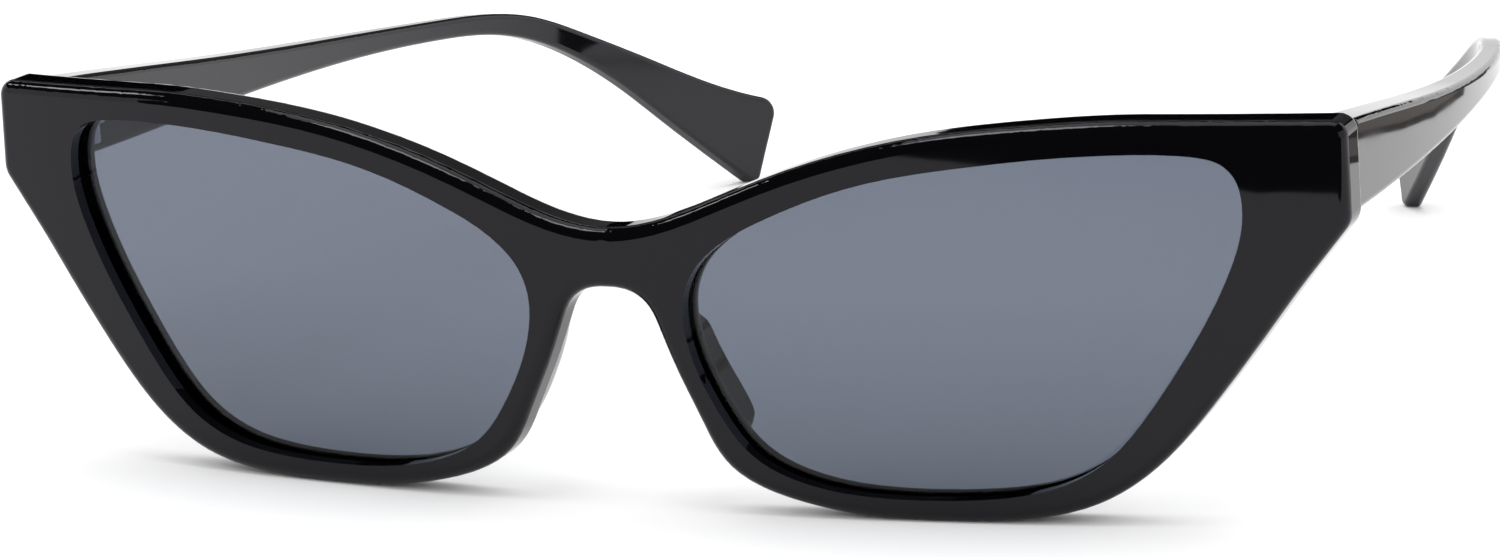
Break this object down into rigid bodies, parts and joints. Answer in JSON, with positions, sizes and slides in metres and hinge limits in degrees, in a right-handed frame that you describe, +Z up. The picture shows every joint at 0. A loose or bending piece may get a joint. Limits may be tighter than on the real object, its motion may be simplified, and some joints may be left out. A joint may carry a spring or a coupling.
{
  "type": "cat eye sunglasses",
  "caption": "Cat eye sunglasses: moulded front with swept-up corners and nose pads, two tinted lenses, two temples on metal barrel hinges that fold behind the front.",
  "frame": {"origin": "on the table plane, under the middle of the bounding box with both temples open", "axes": "+X towards the wearer's left, +Y from the front back along the temples, +Z up; the front faces -Y"},
  "size_m": [0.1422, 0.1438, 0.0387],
  "materials": {
    "frame_plastic": "polished black",
    "temple_plastic": "polished black, satin on the inner face",
    "lens_tint": "grey tint, smooth",
    "hinge_metal": "satin",
    "screw_metal": "bright"
  },
  "bodies": {
    "front": {"frame_front": "frame_plastic", "lens_left": "lens_tint", "lens_right": "lens_tint", "hinge_front_leaf_left": "hinge_metal", "hinge_front_leaf_right": "hinge_metal", "hinge_screws": "screw_metal"},
    "temple_left": {"temple_left": "temple_plastic", "hinge_temple_leaf_left": "hinge_metal"},
    "temple_right": {"temple_right": "temple_plastic", "hinge_temple_leaf_right": "hinge_metal"}
  },
  "joints": [
    {"name": "fold_left", "type": "hinge", "parent": "front", "child": "temple_left", "pos_m": [0.0644, -0.05675, 0.0339], "axis": [0, 0, 1], "range_deg": [0, 81]},
    {"name": "fold_right", "type": "hinge", "parent": "front", "child": "temple_right", "pos_m": [-0.0644, -0.05675, 0.0339], "axis": [0, 0, -1], "range_deg": [0, 74]}
  ]
}
